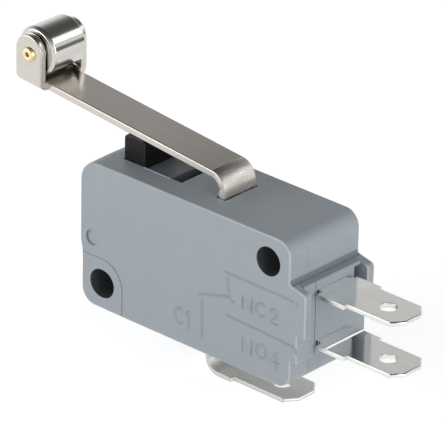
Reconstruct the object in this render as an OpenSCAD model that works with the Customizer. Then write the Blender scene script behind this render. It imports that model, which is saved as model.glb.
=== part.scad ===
// Roller lever micro switch: a snap-action switch in a two-piece moulded housing, with three
// push-on tabs and a long sprung lever that carries a roller.
// Sub-parts are drawn from the housing's lower left corner, on its middle plane: X runs along the
// housing towards the tabs, Y from front to back, Z up towards the lever. placed() then moves them
// into the part's frame, whose origin is the middle of the round fixing hole.
// The lever is drawn at its free position, with the normally closed contact made.

/* [Housing] */
// Length of the housing along the lever
body_l = 27.8; // [27.4:0.1:30]
// Height of the housing
body_h = 15.9; // [15.6:0.1:18]
// Thickness of the housing, front to back
body_t = 10.3; // [9.8:0.1:12]
// Corner radius of the housing's outline
corner_r = 1.7; // [0.8:0.1:2]
// Thickness of the bottom and end walls
wall = 1.3; // [1.1:0.1:1.6]
// Thickness of the top wall, which guides the plunger and holds the lever
top_wall = 2; // [1.8:0.1:2.2]
// Thickness of the front and back walls
face_wall = 1.5; // [1.2:0.1:1.8]
// Width of the slots in the rim, from the parting plane backwards
slot_w = 4.8; // [4.7:0.1:5.2]
// Rise of the pad round the oblong fixing hole above the cover's face
pad_rise = 0.08; // [0.04:0.02:0.2]
// Diameter of the round mould mark in the cover
mark_d = 1.7; // [1:0.1:2]
// Depth of the mould mark
mark_depth = 0.2; // [0.04:0.02:0.3]

/* [Fixing holes] */
// Diameter of both fixing holes
hole_d = 3.1; // [2.8:0.1:3.3]
// Extra length of the oblong hole, along the housing
hole_stretch = 0.2; // [0.1:0.1:0.4]
// Distance of the hole centres from the housing's edges
hole_edge = 2.8; // [2.7:0.1:3]
// Wall of the bosses round the fixing holes
boss_wall = 1.15; // [1:0.05:1.3]
// Wall of the case's spigots that centre the cover
spigot_wall = 0.55; // [0.4:0.05:0.65]
// Length of the spigots
spigot_l = 0.8; // [0.4:0.1:1]

/* [Terminal block] */
// How far the block stands out of the housing's end
block_reach = 1.1; // [0.8:0.1:1.6]
// How far the two side ears stand out of the housing's end
ear_reach = 2.1; // [1.8:0.1:2.6]
// Thickness of the side ears
ear_t = 1; // [0.8:0.1:1.4]
// Corner radius of the ears
ear_r = 0.5; // [0.2:0.1:0.6]
// Width of the groove beside the rear ear
groove_w = 0.9; // [0.6:0.1:1.2]
// Depth of the groove
groove_l = 1.6; // [1:0.1:1.8]
// Thickness of the ledge over the groove
groove_roof = 0.3; // [0.2:0.05:0.5]
// Slope of the block's upper ledge, in degrees
ledge_slope = 14; // [0:1:20]
// Height of the ledge above the upper tab's middle
ledge_lift = 1.45; // [1.2:0.05:1.8]
// Drop of the ears' lower ends below the upper tab's middle
ear_drop = 3.85; // [3:0.05:4.4]
// Drop of the block's lower end below the lower tab's middle
block_drop = 1.3; // [1:0.05:1.6]
// How far the foot under the block stands out of the housing's end
foot_reach = 0.3; // [0.1:0.1:0.6]

/* [Tabs] */
// Width of the push-on blades
tab_w = 4.8; // [4.4:0.1:5]
// Thickness of the tab sheet
tab_t = 0.5; // [0.4:0.1:0.6]
// Width of the tabs' bases
tab_base_w = 5.7; // [5.4:0.1:6]
// Width of the tabs' necks inside the walls
tab_neck_w = 4; // [3:0.1:4.2]
// Width of the tabs inside the housing
tab_inner_w = 4.6; // [4.4:0.1:4.6]
// Gap between the block and the wide bases of the upper and lower tabs
tab_stand = 0.5; // [0.1:0.05:0.8]
// Distance of the tabs' shoulders from the block
tab_base_l = 4; // [3:0.1:5]
// Length of the upper and lower tabs' blades
tab_blade_l = 6.5; // [6:0.1:8]
// How much further the lower tab stands out than the upper one
no_tab_out = 0.2; // [0:0.05:0.5]
// Length of the chamfers at the blade tips
tip_l = 0.95; // [0.5:0.05:1.2]
// Width of the chamfers at the blade tips
tip_w = 1.25; // [0.6:0.05:1.6]
// Diameter of the detent hole in a blade
tab_hole_d = 1.75; // [1.4:0.05:2]
// Distance of the detent hole from the tip
tab_hole_tip = 3.25; // [2.8:0.05:3.6]
// Distance between the upper and the lower tab
tab_pitch = 5.55; // [5.3:0.05:6]
// Distance of the common tab's stem from the round fixing hole, along the housing
com_x = 9.75; // [9.7:0.05:10.1]
// Drop of the common tab's blade below the housing
com_drop = 3.3; // [2.8:0.1:4]
// Inner bend radius of the common tab
com_bend_r = 1.2; // [0.6:0.1:1.6]
// Length of the common tab's base past its bend
com_base_l = 1.7; // [1:0.1:3]
// Length of the common tab's blade
com_blade_l = 7.7; // [6:0.1:8]

/* [Lever] */
// Distance of the lever's leg from the housing's left end
lever_x = 16.27; // [16.2:0.05:17]
// Thickness of the lever's sheet
lever_t = 0.8; // [0.7:0.05:0.9]
// Width of the lever's strip
lever_w = 4.6; // [4.2:0.1:4.6]
// Rise of the free lever towards the roller, in degrees
lever_rise = 5.6; // [4.5:0.05:7]
// Inner bend radius between the leg and the strip
lever_bend_r = 1.2; // [0.8:0.1:1.6]
// Height of the bend's centre above the housing
lever_bend_lift = 0.65; // [0.4:0.05:1.2]
// Depth of the lever's pivot below the housing's top
pivot_depth = 1.2; // [1:0.05:1.3]
// Radius of the leg's pivot lugs
lug_r = 0.36; // [0.25:0.01:0.38]
// Length of the pivot lugs
lug_l = 0.55; // [0.3:0.05:0.7]
// Distance of the roller's axis from the bend, along the strip
lever_reach = 24.55; // [20:0.05:28]

/* [Roller] */
// Diameter of the roller
roller_d = 5.2; // [4.8:0.1:5.5]
// Width of the roller's tread
roller_w = 4.8; // [3.6:0.1:4.8]
// Bevel at the roller's rims
roller_bevel = 0.3; // [0.1:0.02:0.4]
// Gap between the roller and the strip
roller_gap = 0.27; // [0.2:0.01:1]
// Diameter of the hubs that centre the roller between the ears
hub_d = 2.8; // [2.2:0.1:3.2]
// Width over the bracket's two ears
bracket_w = 6.74; // [6.7:0.02:7.4]
// Setback of the bracket's folds from the strip's edges
fold_setback = 0.07; // [0.05:0.01:0.1]
// Width of a bracket ear, along the strip
bracket_ear_l = 3.5; // [3:0.1:4.2]
// How far the ears' middle lies past the roller's axis, towards the free end
bracket_lead = 0.15; // [0:0.05:0.3]
// Height of the ears' round tops above the roller's axis
bracket_top = 2; // [1.9:0.05:2.4]
// Radius of the ears' lower corner
bracket_corner_r = 0.8; // [0.3:0.1:1]
// Diameter of the roller pin's shank
pin_d = 1.3; // [1:0.05:1.5]
// Diameter of the pin's heads at the ears
pin_head_d = 1.7; // [1.6:0.05:2]
// Height of the pin's heads
pin_head_h = 0.34; // [0.2:0.02:0.5]
// Diameter of the hollow in each pin head
pin_hollow_d = 0.5; // [0.3:0.05:0.6]

/* [Plunger] */
// Distance of the plunger from the housing's left end
plunger_x = 4.4; // [4.3:0.05:4.9]
// Length of the plunger, along the housing
plunger_l = 2.8; // [2.6:0.1:3.2]
// Width of the plunger, front to back
plunger_w = 4.6; // [4.2:0.1:4.6]
// Radius of the plunger's crowned top
plunger_crown_r = 1.7; // [1.7:0.1:5]
// How far the stop flange stands out of the plunger's sides
flange_reach = 0.75; // [0.4:0.05:0.9]
// Height of the stop flange
flange_h = 1.4; // [1:0.1:1.6]
// Left end of the spare lever slot
spare_slot_x = 9.15; // [9:0.05:10]
// Length of the spare lever slot
spare_slot_l = 1.8; // [1:0.05:2]
// Depth of the shallow hollow between the plunger and the spare slot
hollow_depth = 0.3; // [0.1:0.05:0.6]

/* [Snap mechanism] */
// Distance of the contacts from the round fixing hole, along the housing
contact_x = 2.7; // [2.4:0.05:3]
// Diameter of the fixed contacts
contact_d = 2.4; // [2:0.1:2.8]
// Height of the fixed contacts' heads
contact_h = 0.7; // [0.5:0.05:0.8]
// Diameter of the contacts' shanks
contact_shank_d = 1.2; // [0.9:0.05:1.4]
// Contact gap
contact_gap = 1.05; // [0.8:0.05:1.3]
// Diameter of the moving contact
moving_contact_d = 2.2; // [1.8:0.1:2.4]
// Crown radius of the moving contact's faces
moving_crown_r = 4; // [3:0.5:6]
// Thickness of the two arms
arm_t = 0.4; // [0.3:0.05:0.45]
// Width of the two arms
arm_w = 4.4; // [4.2:0.1:4.6]
// Width of the windows that the spring passes
window_w = 2.4; // [2.2:0.1:2.6]
// Tilt of the free actuating arm, in degrees
actuator_tilt = 19.5; // [19:0.1:21]
// Drop of the actuating arm's fulcrum below the contact arm's
fulcrum_drop = 2.05; // [1.8:0.05:2.2]
// Distance of the spring's eye from the actuating arm's fulcrum
actuator_eye = 5.9; // [5.4:0.05:6.2]
// Distance of the spring's eye from the contact arm's fulcrum
contact_eye = 4.35; // [4.2:0.05:4.5]
// Diameter of the spring wire
wire_d = 0.24; // [0.18:0.02:0.28]
// Outer diameter of the spring
spring_d = 1.5; // [1.2:0.1:1.6]
// Number of turns
spring_turns = 11; // [8:1:14]

/* [Fits] */
// Gap round a piece that slides or turns
running_gap = 0.05; // [0.03:0.01:0.08]
// Gap round a piece that sits still in its seat
seat_gap = 0.03; // [0.02:0.01:0.05]
// Room in front of the lever's leg in its slot
leg_room = 0.3; // [0.28:0.02:0.4]
// Room behind the lever's leg in its slot
leg_back_room = 0.16; // [0.14:0.02:0.3]

/* [Hidden] */
$fn = 64;
eps = 0.01;

housing_grey = [0.61, 0.64, 0.66];
plunger_black = [0.11, 0.11, 0.11];
steel = [0.72, 0.71, 0.69];
bright_steel = [0.82, 0.81, 0.79];
brass = [0.80, 0.66, 0.36];
tin_plate = [0.76, 0.76, 0.73];
silver = [0.85, 0.85, 0.83];
spring_bronze = [0.66, 0.50, 0.33];

// Planes across the thickness
front = -body_t/2;
back = body_t/2;
parting = -slot_w/2;
cover_face = front + pad_rise;

// Fixing holes
hole_r = hole_d/2;
boss_r = hole_r + boss_wall;
spigot_r = hole_r + spigot_wall;
oblong_hole = [hole_edge, hole_edge];
round_hole = [body_l - hole_edge, body_h - hole_edge];
mark = [1.3, body_h/2 - 0.5];

// Places along the housing that keep their distance from the round hole
stem_x = round_hole[0] - com_x;
contact_axis = round_hole[0] - contact_x;

// Heights of the tabs and of the block round them
nc_z = round_hole[1] - boss_r - 2*running_gap - tab_t/2;
no_z = nc_z - tab_pitch;
ledge_z = nc_z + ledge_lift;
ear_bottom = nc_z - ear_drop;
block_bottom = no_z - block_drop;
block_x = body_l + block_reach;
ear_x = body_l + ear_reach;
com_pocket = wall/2;
shoulder_x = block_x + tab_base_l;
com_bend_x = stem_x + tab_t/2 + com_bend_r;

// Lever: centre of its bend, its pivot, and the strip's underside seen from the pivot
leg_x = lever_x - lever_t/2;
bend = [leg_x - lever_bend_r, body_h + lever_bend_lift];
pivot = [lever_x, body_h - pivot_depth];
leg_l = bend[1] - pivot[1] + lug_r;
underside = (bend[0] - pivot[0])*sin(lever_rise) + (bend[1] - pivot[1])*cos(lever_rise) + lever_bend_r;
roller_z = lever_bend_r + lever_t + roller_gap + roller_d/2;
ear_inner = bracket_w/2 - lever_t;

// Contact arm: its fulcrum lies midway between the two fixed contacts
contact_space = tab_pitch - tab_t - 2*contact_h;
arm_pivot = [stem_x + tab_t/2, (nc_z + no_z)/2];
arm_reach = contact_axis - arm_pivot[0];
arm_tilt = asin(contact_gap/2/arm_reach);
moving_half = (contact_space - contact_gap)/2 - seat_gap;

// Actuating arm and the plunger between it and the lever
actuator_pivot = [stem_x - tab_t/2, arm_pivot[1] - fulcrum_drop];
foot_r = plunger_l/2;
foot_z = actuator_pivot[1] + (arm_t/2 + seat_gap + foot_r)/cos(actuator_tilt)
       + (actuator_pivot[0] - plunger_x)*tan(actuator_tilt);
crown_z = pivot[1] + (underside - seat_gap - plunger_crown_r)/cos(lever_rise)
        + (pivot[0] - plunger_x)*tan(lever_rise);
actuator_l = (actuator_pivot[0] - plunger_x + foot_r/2)/cos(actuator_tilt);
flange_top = body_h - top_wall - running_gap;

// Spring eyes, at both ends of the spring's axis
eye_r = wire_d/2 + arm_t/2 + 0.16;
eye_hole_r = wire_d/2 + 0.14;
left_eye = actuator_pivot + actuator_eye*[-cos(actuator_tilt), sin(actuator_tilt)];
right_eye = arm_pivot + contact_eye*[cos(arm_tilt), sin(arm_tilt)];
spring_l = norm(right_eye - left_eye) - 2*eye_r;
spring_tilt = atan2(right_eye[1] - left_eye[1], right_eye[0] - left_eye[0]);

// Moves a sub-part from the housing's corner to the part's frame
module placed() {
    translate([-round_hole[0], 0, -round_hole[1]]) children();
}

// Extrudes a side view, drawn in X and Z, from y0 back to y1
module across(y0, y1) {
    translate([0, y1, 0]) rotate([90, 0, 0]) linear_extrude(y1 - y0) children();
}

// Moves to a point of the side view
module at(point) {
    translate([point[0], 0, point[1]]) children();
}

// Round bar along Y
module bar(r, y0, y1) {
    across(y0, y1) circle(r);
}

module rounded_box(x0, z0, x1, z1, r) {
    translate([x0 + r, z0]) square([x1 - x0 - 2*r, z1 - z0]);
    translate([x0, z0 + r]) square([x1 - x0, z1 - z0 - 2*r]);
    for (x = [x0 + r, x1 - r], z = [z0 + r, z1 - r]) translate([x, z]) circle(r);
}

// Part of a ring about the origin, from one angle to another less than 180 degrees on
module ring_sector(r_in, r_out, from, to) {
    far = 2*r_out;
    middle = (from + to)/2;
    intersection() {
        difference() {
            circle(r_out);
            circle(r_in);
        }
        polygon([[0, 0], far*[cos(from), sin(from)], far*[cos(middle), sin(middle)],
                 far*[cos(to), sin(to)]]);
    }
}

// Side views of the housing
module body_outline() {
    rounded_box(0, 0, body_l, body_h, corner_r);
    rounded_box(body_l/2, 0, body_l + foot_reach, block_bottom + 2*corner_r, corner_r);
}

module block_outline(reach, bottom) {
    polygon([[body_l - wall, bottom], [body_l + reach, bottom],
             [body_l + reach, ledge_z - reach*tan(ledge_slope)], [body_l, ledge_z],
             [body_l - wall, ledge_z]]);
}

module ear_outline() {
    corner = [ear_x - ear_r,
              ledge_z - (ear_r + (ear_reach - ear_r)*sin(ledge_slope))/cos(ledge_slope)];
    polygon([[body_l - wall, ear_bottom], [ear_x, ear_bottom], [ear_x, corner[1]],
             corner + ear_r*[sin(ledge_slope), cos(ledge_slope)], [body_l, ledge_z],
             [body_l - wall, ledge_z]]);
    translate(corner) circle(ear_r);
    translate([body_l - wall, block_bottom]) square([wall + block_reach, ear_bottom - block_bottom + ear_r]);
}

// The block between the ears, from y0 to y1
module middle_slab(y0, y1) {
    across(y0, y1) {
        body_outline();
        block_outline(block_reach, block_bottom);
    }
}

module ear_slab(y0, y1) {
    across(y0, y1) {
        body_outline();
        ear_outline();
    }
}

// Inner space of the housing, clear of the two bosses
module cavity(y0, y1) {
    across(y0, y1) difference() {
        rounded_box(wall, wall, body_l - wall, body_h - top_wall, wall/2);
        translate(oblong_hole) circle(boss_r);
        translate(round_hole) circle(boss_r);
    }
}

module fixing_holes(y0, y1) {
    at(round_hole) bar(hole_r, y0, y1);
    for (side = [-1, 1]) at(oblong_hole + [side*hole_stretch/2, 0]) bar(hole_r, y0, y1);
    across(y0, y1) translate(oblong_hole - [hole_stretch/2, hole_r]) square([hole_stretch, hole_d]);
}

module spigots(r, y0, y1) {
    for (centre = [round_hole, oblong_hole]) at(centre) bar(r, y0, y1);
}

// A slot through the top wall, open at the parting plane
module top_slot(x0, x1) {
    translate([x0, parting - eps, body_h - top_wall - eps])
        cube([x1 - x0, slot_w + eps, top_wall + 2*eps]);
}

// Slot for an end tab's neck at height z, open at the parting plane
module end_tab_seat(z) {
    neck_y = tab_neck_w/2 + 2*running_gap;
    translate([body_l - 2*wall, parting - eps, z - tab_t/2 - running_gap])
        cube([2*wall + block_reach + eps, neck_y - parting + eps, tab_t + 2*running_gap]);
}

// Groove between the block and the rear ear, under the ledge
module ear_groove() {
    top = ledge_z - block_reach*tan(ledge_slope) - groove_roof;
    translate([block_x - groove_l, back - ear_t - groove_w, ear_bottom])
        cube([groove_l + eps, groove_w, top - ear_bottom]);
}

// Seats of the common tab in the bottom wall
module common_tab_seat() {
    base_y = tab_base_w/2 + 2*running_gap;
    neck_y = tab_neck_w/2 + 2*running_gap;
    left = stem_x - tab_t/2 - running_gap;
    translate([left, -base_y, -eps]) cube([tab_t + 2*running_gap, 2*base_y, com_pocket + eps]);
    translate([left, parting - eps, -eps])
        cube([tab_t + 2*running_gap, neck_y - parting + eps, 2*wall]);
}

// Rear half of the housing, with the inner space and all slots open towards the cover
module case() {
    color(housing_grey) difference() {
        union() {
            middle_slab(parting, back - ear_t + eps);
            ear_slab(back - ear_t, back);
            spigots(spigot_r, parting - spigot_l, parting + eps);
        }
        cavity(parting - eps, back - face_wall);
        fixing_holes(front, back + eps);
        top_slot(plunger_x - plunger_l/2 - running_gap, plunger_x + plunger_l/2 + running_gap);
        top_slot(spare_slot_x, spare_slot_x + spare_slot_l);
        top_slot(leg_x - leg_room, leg_x + lever_t + leg_back_room);
        translate([plunger_x, parting - eps, body_h - hollow_depth])
            cube([spare_slot_x - plunger_x + eps, slot_w + eps, hollow_depth + eps]);
        at(pivot) bar(lug_r + running_gap, 0, lever_w/2 + lug_l + 2*running_gap);
        for (z = [nc_z, no_z]) end_tab_seat(z);
        ear_groove();
        common_tab_seat();
    }
}

// Raised pad round the oblong hole, run out to the housing's corner
module hole_pad() {
    across(front, cover_face + eps) intersection() {
        body_outline();
        union() {
            translate(oblong_hole) circle(boss_r);
            square([hole_edge, hole_edge + boss_r]);
            square([hole_edge + boss_r, hole_edge]);
        }
    }
}

// Front half of the housing
module cover() {
    color(housing_grey) difference() {
        union() {
            ear_slab(cover_face, front + ear_t);
            middle_slab(front + ear_t - eps, parting);
            hole_pad();
        }
        cavity(front + face_wall, parting + eps);
        fixing_holes(front - eps, parting + eps);
        spigots(spigot_r + seat_gap, parting - spigot_l - running_gap, parting + eps);
        at(pivot) bar(lug_r + running_gap, -lever_w/2 - lug_l - 2*running_gap, 0);
        common_tab_seat();
        at(mark) bar(mark_d/2, front - eps, cover_face + mark_depth);
    }
}

// Plunger: crowned under the lever, with a stop flange and a round foot on the actuating arm
module plunger() {
    color(plunger_black) across(-plunger_w/2, plunger_w/2) {
        intersection() {
            translate([plunger_x - plunger_l/2, foot_z])
                square([plunger_l, crown_z + plunger_crown_r - foot_z]);
            union() {
                translate([plunger_x, crown_z]) circle(plunger_crown_r);
                translate([plunger_x - plunger_l, foot_z]) square([2*plunger_l, crown_z - foot_z]);
            }
        }
        translate([plunger_x - plunger_l/2 - flange_reach, flange_top - flange_h])
            square([plunger_l + 2*flange_reach, flange_h]);
        translate([plunger_x, foot_z]) circle(foot_r);
    }
}

// Moves to the lever's bend and tilts along the strip, which then runs along -X
module along_strip() {
    at(bend) rotate([0, lever_rise, 0]) children();
}

// Side view of the leg, the bend and the strip, from the bend's centre
module lever_outline() {
    translate([lever_bend_r, -leg_l]) square([lever_t, leg_l]);
    ring_sector(lever_bend_r, lever_bend_r + lever_t, 0, 90 - lever_rise);
    rotate(-lever_rise) translate([-lever_reach, lever_bend_r]) square([lever_reach, lever_t]);
}

// Folded section of the bracket, across the strip
module bracket_section() {
    height = roller_z + roller_d;
    fold_r = ear_inner - lever_w/2 - fold_setback;
    translate([0, lever_bend_r]) difference() {
        rounded_box(-bracket_w/2, 0, bracket_w/2, height, fold_r + lever_t);
        rounded_box(-ear_inner, lever_t, ear_inner, 2*height, fold_r);
    }
}

// Side view of a bracket ear, from the roller's axis: its sides stand upright on the sloping strip
module bracket_outline() {
    half = bracket_ear_l/2;
    bottom = lever_bend_r - roller_z;
    inset = 0.98*bracket_corner_r;
    side_x = -(half + bracket_lead + (bottom + inset)*sin(lever_rise))/cos(lever_rise);
    difference() {
        intersection() {
            rotate(lever_rise) translate([-bracket_lead, 0]) {
                translate([-half, -roller_z]) square([bracket_ear_l, roller_z + bracket_top - half]);
                translate([0, bracket_top - half]) circle(half);
            }
            translate([-bracket_ear_l, bottom]) square([2*bracket_ear_l, roller_z + bracket_top]);
        }
        translate([side_x + inset, bottom + inset]) difference() {
            translate(-2*bracket_corner_r*[1, 1]) square(2*bracket_corner_r);
            circle(bracket_corner_r);
        }
    }
}

// Lever: one folded strip, with a leg in the housing's slot and a bracket for the roller
module lever() {
    color(steel) difference() {
        union() {
            at(bend) across(-lever_w/2, lever_w/2) lever_outline();
            along_strip() intersection() {
                translate([-lever_reach - bracket_ear_l, 0, 0])
                    rotate([90, 0, 90]) linear_extrude(2*bracket_ear_l) bracket_section();
                at([-lever_reach, roller_z]) across(-bracket_w, bracket_w) bracket_outline();
            }
            at(pivot) bar(lug_r, -lever_w/2 - lug_l, lever_w/2 + lug_l);
        }
        along_strip() at([-lever_reach, roller_z])
            bar(pin_d/2 + seat_gap, -bracket_w, bracket_w);
    }
}

// Half section of the roller: bevelled tread, recessed faces and a hub at each side
module roller_section() {
    bore = pin_d/2 + running_gap;
    rim = roller_d/2;
    half = roller_w/2;
    hub_half = ear_inner - 2*running_gap;
    polygon([[bore, -hub_half], [hub_d/2, -hub_half], [hub_d/2, -half], [rim - roller_bevel, -half],
             [rim, roller_bevel - half], [rim, half - roller_bevel], [rim - roller_bevel, half],
             [hub_d/2, half], [hub_d/2, hub_half], [bore, hub_half]]);
}

module roller() {
    color(bright_steel) along_strip() at([-lever_reach, roller_z])
        rotate([90, 0, 0]) rotate_extrude() roller_section();
}

// Hollow-headed rivet that carries the roller between the ears
module roller_pin() {
    half = bracket_w/2;
    color(brass) along_strip() at([-lever_reach, roller_z]) difference() {
        union() {
            bar(pin_d/2, -half - pin_head_h/2, half + pin_head_h/2);
            for (side = [-1, 1]) translate([0, side*half, 0]) rotate([-side*90, 0, 0])
                cylinder(d1 = pin_head_d, d2 = pin_d, h = pin_head_h);
        }
        for (side = [-1, 1]) translate([0, side*(half + pin_head_h), 0])
            bar(pin_hollow_d/2, -2*pin_head_h, 2*pin_head_h);
    }
}

// Flat view of a push-on tab from its shoulder: the base to the left, the blade to the right
module tab_outline(base_l, blade_l) {
    tip_half = tab_w/2 - tip_w;
    difference() {
        union() {
            translate([-base_l, -tab_base_w/2]) square([base_l, tab_base_w]);
            polygon([[-eps, -tab_w/2], [blade_l - tip_l, -tab_w/2], [blade_l, -tip_half],
                     [blade_l, tip_half], [blade_l - tip_l, tab_w/2], [-eps, tab_w/2]]);
        }
        translate([blade_l - tab_hole_tip, 0]) circle(d = tab_hole_d);
    }
}

// End tab at height z: blade, base before the block, neck in the wall, contact plate inside
module end_tab(z, out) {
    base_x = block_x + tab_stand + out;
    inner_x = contact_axis - contact_d/2;
    neck_x = body_l - wall - seat_gap;
    translate([0, 0, z - tab_t/2]) linear_extrude(tab_t) difference() {
        union() {
            translate([shoulder_x + out, 0]) tab_outline(shoulder_x + out - base_x, tab_blade_l);
            translate([neck_x - eps, -tab_neck_w/2]) square([base_x - neck_x + 2*eps, tab_neck_w]);
            translate([inner_x, -tab_inner_w/2]) square([neck_x - inner_x, tab_inner_w]);
        }
        translate([contact_axis, 0]) circle(d = contact_shank_d + 2*seat_gap);
    }
}

module nc_terminal() {
    color(tin_plate) end_tab(nc_z, 0);
}

module no_terminal() {
    color(tin_plate) end_tab(no_z, no_tab_out);
}

// Common tab: blade under the housing, bent up into a forked post with two fulcrum notches
module common_terminal() {
    bend_z = tab_t/2 + com_bend_r - com_drop;
    post_top = arm_pivot[1] + 2*arm_t;
    notch_r = arm_t/2 + running_gap;
    window_z = arm_pivot[1] - fulcrum_drop + 3*notch_r;
    anchor_z = wall + seat_gap;
    color(tin_plate) difference() {
        union() {
            translate([com_bend_x + com_base_l, 0, -com_drop - tab_t/2])
                linear_extrude(tab_t) tab_outline(com_base_l, com_blade_l);
            across(-tab_base_w/2, tab_base_w/2) {
                translate([com_bend_x, bend_z])
                    ring_sector(com_bend_r, com_bend_r + tab_t, 180, 270);
                translate([stem_x - tab_t/2, bend_z]) square([tab_t, com_pocket - seat_gap - bend_z]);
            }
            across(-tab_neck_w/2, tab_neck_w/2)
                translate([stem_x - tab_t/2, 0]) square([tab_t, anchor_z + eps]);
            across(-tab_inner_w/2, tab_inner_w/2)
                translate([stem_x - tab_t/2, anchor_z]) square([tab_t, post_top - anchor_z]);
        }
        across(-window_w/2, window_w/2)
            translate([stem_x - tab_t, window_z]) square([2*tab_t, post_top]);
        at(arm_pivot) bar(notch_r, -tab_inner_w, tab_inner_w);
        at(actuator_pivot) bar(notch_r, -tab_inner_w, tab_inner_w);
    }
}

// Contact rivet with its face down, seated under a plate whose underside is at z = 0
module contact_rivet() {
    tail_h = tab_t/2;
    translate([0, 0, -contact_h]) cylinder(d = contact_d, h = contact_h);
    cylinder(d = contact_shank_d, h = tab_t + tail_h);
    translate([0, 0, tab_t]) cylinder(d1 = contact_d*0.75, d2 = contact_shank_d, h = tail_h);
}

module nc_contact() {
    color(silver) translate([contact_axis, 0, nc_z - tab_t/2]) contact_rivet();
}

module no_contact() {
    color(silver) translate([contact_axis, 0, no_z + tab_t/2]) mirror([0, 0, 1]) contact_rivet();
}

// Flat view of an arm from its fulcrum, with the spring's window and the hole behind the web
module arm_outline(length, window_from, eye) {
    difference() {
        translate([0, -arm_w/2]) square([length, arm_w]);
        translate([window_from, -window_w/2]) square([eye - eye_r/4 - window_from, window_w]);
        translate([eye + eye_r, 0]) circle(eye_hole_r);
    }
}

// Contact arm: forked round the spring, rocking in the post's upper notch
module contact_arm() {
    length = arm_reach + moving_contact_d/2;
    color(spring_bronze) at(arm_pivot) rotate([0, -arm_tilt, 0]) difference() {
        union() {
            translate([0, 0, -arm_t/2]) linear_extrude(arm_t) arm_outline(length, -arm_t, contact_eye);
            for (side = [-1, 1]) translate([0, side*(arm_w + window_w)/4, 0])
                bar(arm_t/2, (window_w - arm_w)/4, (arm_w - window_w)/4);
        }
        translate([arm_reach, 0, -arm_t]) cylinder(d = contact_shank_d + 2*seat_gap, h = 2*arm_t);
    }
}

// Moving contact: one rivet through the arm with a crowned face on both sides
module moving_contact() {
    color(silver) at(arm_pivot) rotate([0, -arm_tilt, 0]) translate([arm_reach, 0, 0]) {
        cylinder(d = contact_shank_d, h = 2*moving_half - moving_contact_d/2, center = true);
        for (side = [0, 1]) mirror([0, 0, side]) intersection() {
            translate([0, 0, arm_t/2]) cylinder(d = moving_contact_d, h = moving_half);
            translate([0, 0, moving_half - moving_crown_r]) sphere(moving_crown_r);
        }
    }
}

// Actuating arm: from the post's lower notch up to the plunger's foot
module actuating_arm() {
    window_from = 2*eye_r + arm_t;
    color(steel) at(actuator_pivot) rotate([0, actuator_tilt, 0]) mirror([1, 0, 0]) {
        translate([0, 0, -arm_t/2]) linear_extrude(arm_t) arm_outline(actuator_l, window_from, actuator_eye);
        bar(arm_t/2, -arm_w/2, arm_w/2);
    }
}

// Point on the spring's wire at share s of its length: a coil whose ends run in to the axis
function ramp(s) = min(1, 12*s, 12*(1 - s));
function wire_point(s) = let (turn = 360*spring_turns*s, r = ramp(s)*(spring_d - wire_d)/2)
    [s*spring_l, r*sin(turn), r*cos(turn)];

// Ring of points round the wire at share s
function wire_ring(s, sides) =
    let (step = 1/spring_turns/40,
         ahead = wire_point(min(1, s + step)) - wire_point(max(0, s - step)),
         along = ahead/norm(ahead),
         out = cross(along, [0, 0, 1]),
         side = norm(out) < 0.1 ? [0, 1, 0] : out/norm(out),
         up = cross(side, along))
    [for (i = [0:sides - 1]) wire_point(s) + wire_d/2*(cos(360*i/sides)*side + sin(360*i/sides)*up)];

module wire_coil() {
    sides = 6;
    rings = spring_turns*12;
    points = [for (i = [0:rings]) each wire_ring(i/rings, sides)];
    walls = [for (i = [0:rings - 1], j = [0:sides - 1], half = [0, 1])
        let (a = i*sides + j, b = i*sides + (j + 1) % sides)
        half == 0 ? [a, b, b + sides] : [a, b + sides, a + sides]];
    ends = [[for (j = [sides - 1:-1:0]) j], [for (j = [0:sides - 1]) rings*sides + j]];
    polyhedron(points, concat(walls, ends), convexity = 10);
}

// Tension spring between the two arms, with a round eye at each end
module snap_spring() {
    color(bright_steel) at(left_eye) rotate([0, -spring_tilt, 0]) {
        translate([eye_r, 0, 0]) wire_coil();
        for (x = [0, spring_l + 2*eye_r]) translate([x, 0, 0])
            rotate([90, 0, 0]) rotate_extrude() translate([eye_r, 0]) circle(wire_d/2);
    }
}

placed() case();
placed() cover();
placed() plunger();
placed() lever();
placed() roller();
placed() roller_pin();
placed() common_terminal();
placed() nc_terminal();
placed() no_terminal();
placed() nc_contact();
placed() no_contact();
placed() contact_arm();
placed() moving_contact();
placed() actuating_arm();
placed() snap_spring();
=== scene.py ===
"""Dressed scene of the roller lever micro switch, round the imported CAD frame. Lengths are in metres."""
import math

import bmesh
import bpy
from mathutils import Matrix, Vector


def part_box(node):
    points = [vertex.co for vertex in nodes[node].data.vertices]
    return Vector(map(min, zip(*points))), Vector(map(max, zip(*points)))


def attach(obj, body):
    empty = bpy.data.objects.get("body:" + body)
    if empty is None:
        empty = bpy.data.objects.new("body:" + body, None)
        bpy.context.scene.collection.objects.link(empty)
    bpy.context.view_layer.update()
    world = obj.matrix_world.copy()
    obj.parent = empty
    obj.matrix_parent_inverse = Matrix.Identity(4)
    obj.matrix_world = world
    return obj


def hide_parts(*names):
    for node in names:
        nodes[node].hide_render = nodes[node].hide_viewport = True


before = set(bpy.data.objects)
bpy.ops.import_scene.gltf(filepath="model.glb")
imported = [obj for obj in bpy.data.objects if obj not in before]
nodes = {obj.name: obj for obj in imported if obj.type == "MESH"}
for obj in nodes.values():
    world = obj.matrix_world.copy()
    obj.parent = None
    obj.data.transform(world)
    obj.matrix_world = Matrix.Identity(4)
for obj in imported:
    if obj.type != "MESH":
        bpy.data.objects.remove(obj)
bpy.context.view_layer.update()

MM = 0.001
# Lengths that differ by less than this count as equal
NEAR = 0.01 * MM
# Height of the raised pad on the cover's face
PAD_H = 0.08 * MM

cover_low, cover_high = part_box("cover")
plunger_low, plunger_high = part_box("plunger")
roller_low, roller_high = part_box("roller")

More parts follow.
